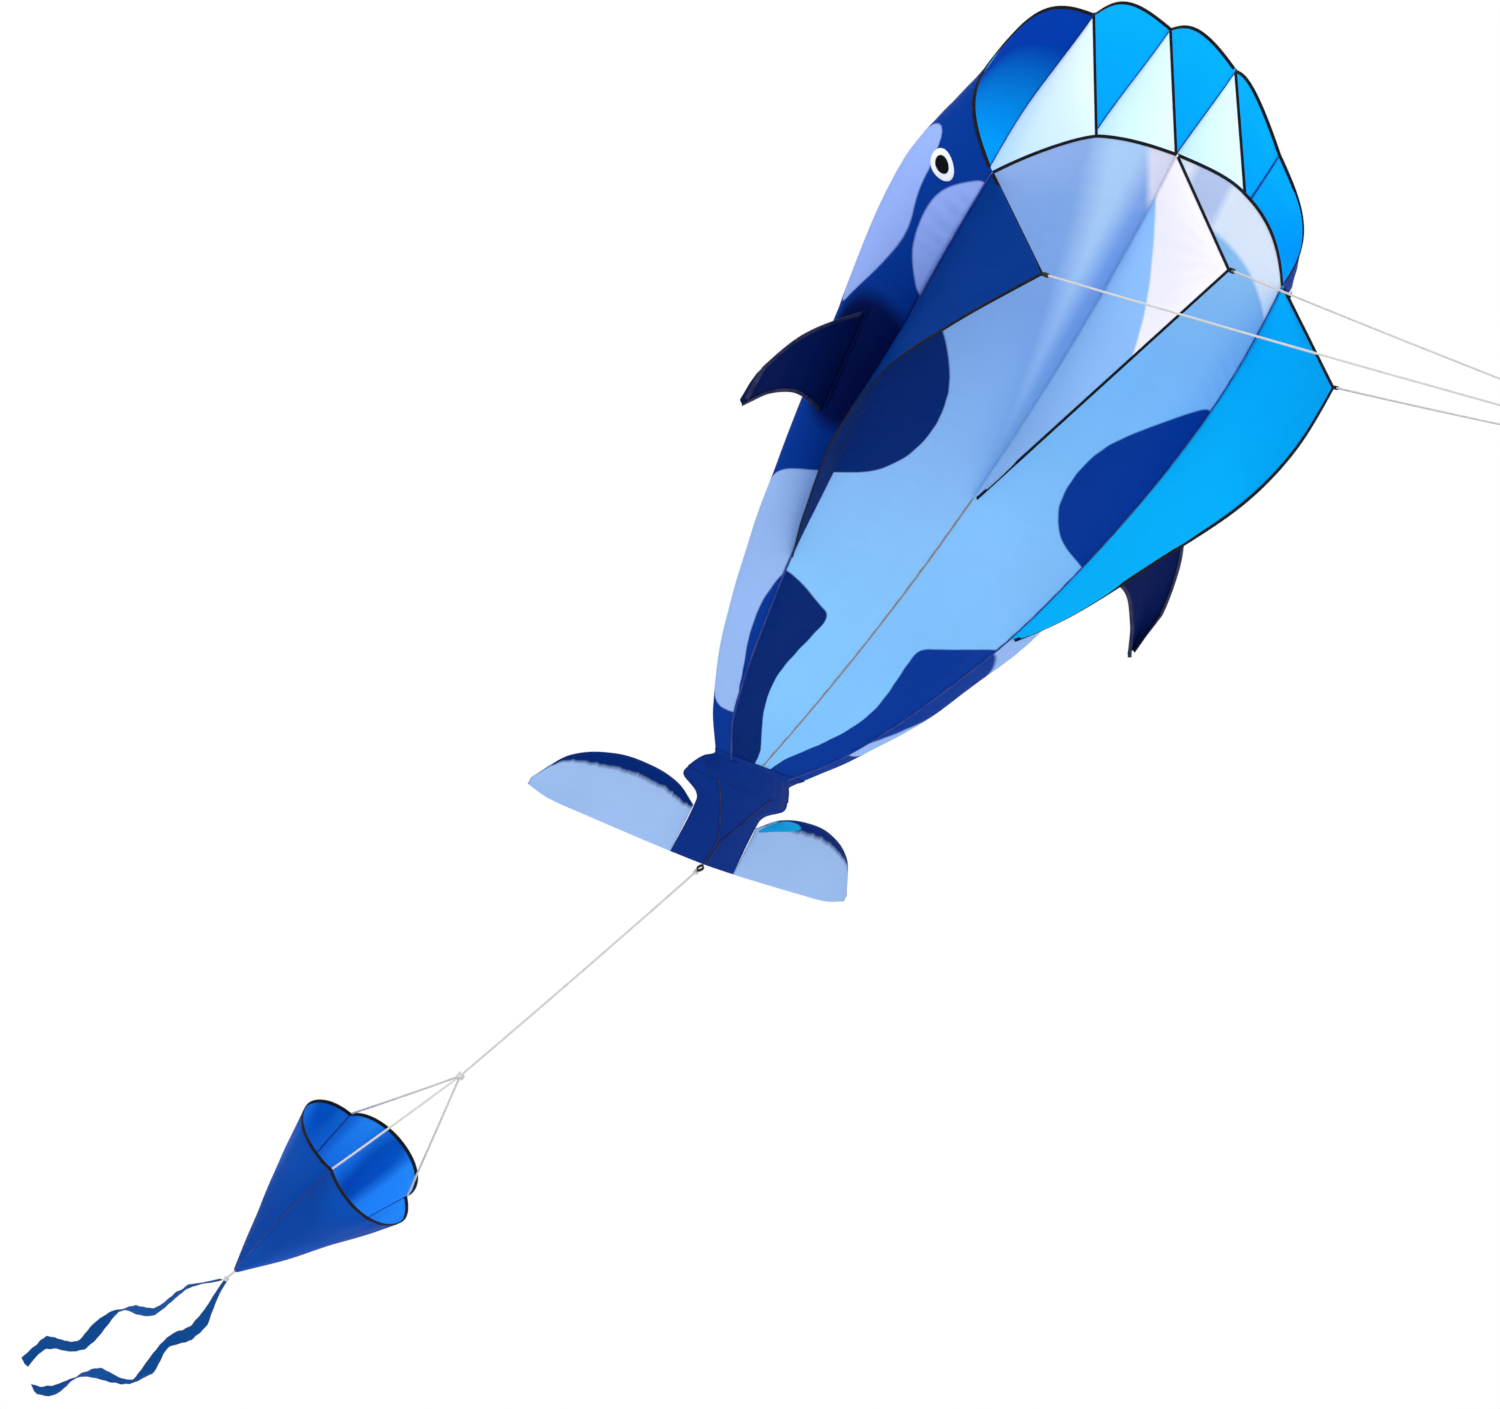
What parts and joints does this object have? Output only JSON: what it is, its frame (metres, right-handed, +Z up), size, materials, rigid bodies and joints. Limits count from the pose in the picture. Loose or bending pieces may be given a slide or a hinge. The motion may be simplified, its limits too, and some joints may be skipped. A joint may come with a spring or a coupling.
{
  "type": "parafoil kite",
  "caption": "Whale-shaped frameless ram-air kite with open cells, three keels, bridle lines, side fins, tail flukes and a trailing cone drogue with ribbons.",
  "frame": {"origin": "centre of the tow ring, where the three bridle lines meet and the flying line is tied", "axes": "+Z up, +Y downwind from the flier to the kite, +X to the kite's own left"},
  "size_m": [1.4615, 5.6166, 2.2348],
  "materials": {
    "flank_fabric": "coated ripstop cloth, deep blue with pale patches",
    "top_fabric": "coated ripstop cloth, deep blue outside and bright blue inside",
    "belly_fabric": "coated ripstop cloth, pale blue with deep blue patches",
    "rib_fabric": "white ripstop cloth",
    "keel_blue_fabric": "coated ripstop cloth, deep blue outside and bright blue inside",
    "keel_white_fabric": "white ripstop cloth",
    "fin_fabric": "navy ripstop cloth",
    "tail_fabric": "navy ripstop cloth",
    "fluke_fabric": "pale blue ripstop cloth",
    "drogue_fabric": "blue ripstop cloth",
    "ribbon_fabric": "blue ripstop ribbon",
    "binding_tape": "black woven tape",
    "eye_white": "white cloth",
    "eye_black": "black cloth",
    "white_cord": "white braided cord",
    "webbing": "black webbing",
    "steel": "bright steel wire"
  },
  "bodies": {
    "canopy": {"flank_panel_right": "flank_fabric", "flank_panel_left": "flank_fabric", "top_panel_right_outer": "top_fabric", "top_panel_right_inner": "top_fabric", "top_panel_left_inner": "top_fabric", "top_panel_left_outer": "top_fabric", "belly_panel_right": "belly_fabric", "belly_panel_left": "belly_fabric", "rib_right": "rib_fabric", "rib_middle": "rib_fabric", "rib_left": "rib_fabric", "keel_right": "keel_blue_fabric", "keel_left": "keel_blue_fabric", "keel_middle": "keel_white_fabric", "keel_binding_right": "binding_tape", "keel_binding_middle": "binding_tape", "keel_binding_left": "binding_tape", "lower_lip_binding": "binding_tape", "upper_lip_binding": "binding_tape", "eye_white_right": "eye_white", "eye_white_left": "eye_white", "eye_pupil_right": "eye_black", "eye_pupil_left": "eye_black", "bridle_line_right": "white_cord", "bridle_line_middle": "white_cord", "bridle_line_left": "white_cord", "bridle_knot_right": "white_cord", "bridle_knot_middle": "white_cord", "bridle_knot_left": "white_cord", "keel_tab_right": "webbing", "keel_tab_middle": "webbing", "keel_tab_left": "webbing", "tow_ring": "steel"},
    "fin_right": {"fin_right": "fin_fabric"},
    "fin_left": {"fin_left": "fin_fabric"},
    "tail": {"tail_stock": "tail_fabric"},
    "fluke_right": {"fluke_right": "fluke_fabric"},
    "fluke_left": {"fluke_left": "fluke_fabric"},
    "tail_loop": {"tail_loop": "webbing"},
    "tail_line": {"tail_line_knot": "white_cord", "tail_line": "white_cord"},
    "drogue_knot": {"drogue_knot": "white_cord"},
    "drogue": {"drogue_line_1": "white_cord", "drogue_line_2": "white_cord", "drogue_line_3": "white_cord", "drogue_cone": "drogue_fabric", "drogue_rim": "binding_tape", "apex_cord": "white_cord", "apex_knot": "white_cord"},
    "ribbon_upper": {"ribbon_upper": "ribbon_fabric"},
    "ribbon_lower": {"ribbon_lower": "ribbon_fabric"}
  },
  "joints": [
    {"name": "fin_right_flap", "type": "hinge", "parent": "canopy", "child": "fin_right", "pos_m": [-0.52982, 2.2424, 0.97038], "axis": [0.1663, 0.7404, -0.6513], "range_deg": [-20, 20]},
    {"name": "fin_left_flap", "type": "hinge", "parent": "canopy", "child": "fin_left", "pos_m": [0.51069, 2.33531, 0.88586], "axis": [-0.1983, 0.7568, -0.6229], "range_deg": [-20, 20]},
    {"name": "tail_pitch", "type": "hinge", "parent": "canopy", "child": "tail", "pos_m": [0, 3.18506, 0.31091], "axis": [1, 0, 0], "range_deg": [-15, 15]},
    {"name": "fluke_right_flap", "type": "hinge", "parent": "tail", "child": "fluke_right", "pos_m": [-0.096, 3.27002, 0.22899], "axis": [0, 0.6508, -0.7593], "range_deg": [-20, 20]},
    {"name": "fluke_left_flap", "type": "hinge", "parent": "tail", "child": "fluke_left", "pos_m": [0.096, 3.27002, 0.22899], "axis": [0, 0.6508, -0.7593], "range_deg": [-20, 20]},
    {"name": "tail_line_pitch", "type": "hinge", "parent": "tail", "child": "tail_loop", "pos_m": [0, 3.33799, 0.13248], "axis": [1, 0, 0], "range_deg": [-80, 60]},
    {"name": "tail_line_yaw", "type": "hinge", "parent": "tail_loop", "child": "tail_line", "pos_m": [0, 3.34921, 0.12884], "axis": [0, 0.309, 0.9511], "range_deg": [-60, 60]},
    {"name": "drogue_pitch", "type": "hinge", "parent": "tail_line", "child": "drogue_knot", "pos_m": [0, 4.14639, -0.13018], "axis": [1, 0, 0], "range_deg": [-40, 40]},
    {"name": "drogue_spin", "type": "hinge", "parent": "drogue_knot", "child": "drogue", "pos_m": [0, 4.14639, -0.13018], "axis": [0, 0.9511, -0.309], "continuous": true},
    {"name": "ribbon_upper_swing", "type": "hinge", "parent": "drogue", "child": "ribbon_upper", "pos_m": [0, 4.93101, -0.38512], "axis": [1, 0, 0], "range_deg": [-25, 25]},
    {"name": "ribbon_lower_swing", "type": "hinge", "parent": "drogue", "child": "ribbon_lower", "pos_m": [0, 4.93101, -0.38512], "axis": [1, 0, 0], "range_deg": [-25, 25]}
  ]
}
